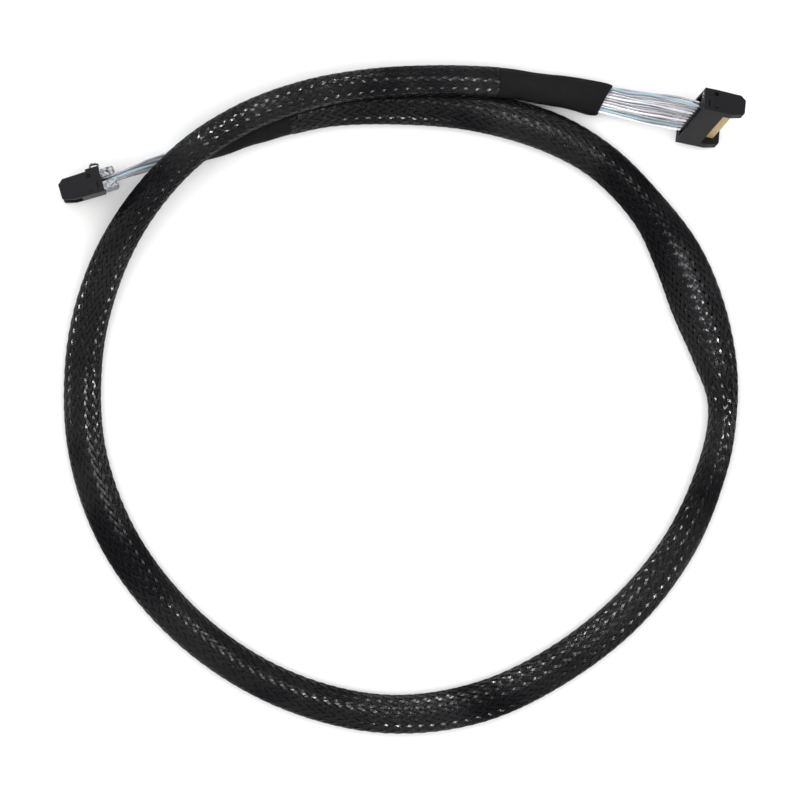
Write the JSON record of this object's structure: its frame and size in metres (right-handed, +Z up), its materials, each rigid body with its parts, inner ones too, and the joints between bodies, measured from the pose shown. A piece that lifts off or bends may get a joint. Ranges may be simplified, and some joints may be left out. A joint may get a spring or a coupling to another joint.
{
  "type": "server data cable",
  "caption": "Sleeved twin-axial server cable with a wide edge-card plug at each end, lying in one loop with both ends side by side.",
  "frame": {"origin": "middle of the base of the cable's box, on the surface that it lies on", "axes": "+Z up from the surface, +X from the latched plug's side to the other plug's side, +Y towards the two ends"},
  "size_m": [0.2532, 0.2482, 0.0362],
  "materials": {
    "housing_plastic": "fine satin",
    "comb_plastic": "matt",
    "card_gold": "plated pads on a sand-coloured card",
    "spring_steel": "bright pressed sheet",
    "pair_jacket": "clear film over silver foil",
    "sideband_jacket": "gloss",
    "shrink_tube": "matt",
    "braid": "glossy monofilament braid"
  },
  "bodies": {
    "root": {"left_housing": "housing_plastic", "left_paddle_card": "card_gold", "left_wire_comb": "comb_plastic", "left_latch_spring": "spring_steel", "left_upper_bracket": "spring_steel", "left_lower_bracket": "spring_steel", "right_housing": "housing_plastic", "right_paddle_card": "card_gold", "right_wire_comb": "comb_plastic", "right_near_clip": "spring_steel", "right_far_clip": "spring_steel", "braided_sleeve": "braid", "left_heat_shrink": "shrink_tube", "right_heat_shrink": "shrink_tube", "twinax_pair_01": "pair_jacket", "sideband_wire_01": "sideband_jacket", "twinax_pair_02": "pair_jacket", "twinax_pair_03": "pair_jacket", "twinax_pair_04": "pair_jacket", "twinax_pair_05": "pair_jacket", "twinax_pair_06": "pair_jacket", "twinax_pair_07": "pair_jacket", "twinax_pair_08": "pair_jacket", "sideband_wire_02": "sideband_jacket", "twinax_pair_09": "pair_jacket", "twinax_pair_10": "pair_jacket", "twinax_pair_11": "pair_jacket", "twinax_pair_12": "pair_jacket", "twinax_pair_13": "pair_jacket", "sideband_wire_03": "sideband_jacket", "sideband_wire_04": "sideband_jacket", "twinax_pair_14": "pair_jacket", "twinax_pair_15": "pair_jacket", "twinax_pair_16": "pair_jacket"}
  },
  "joints": []
}
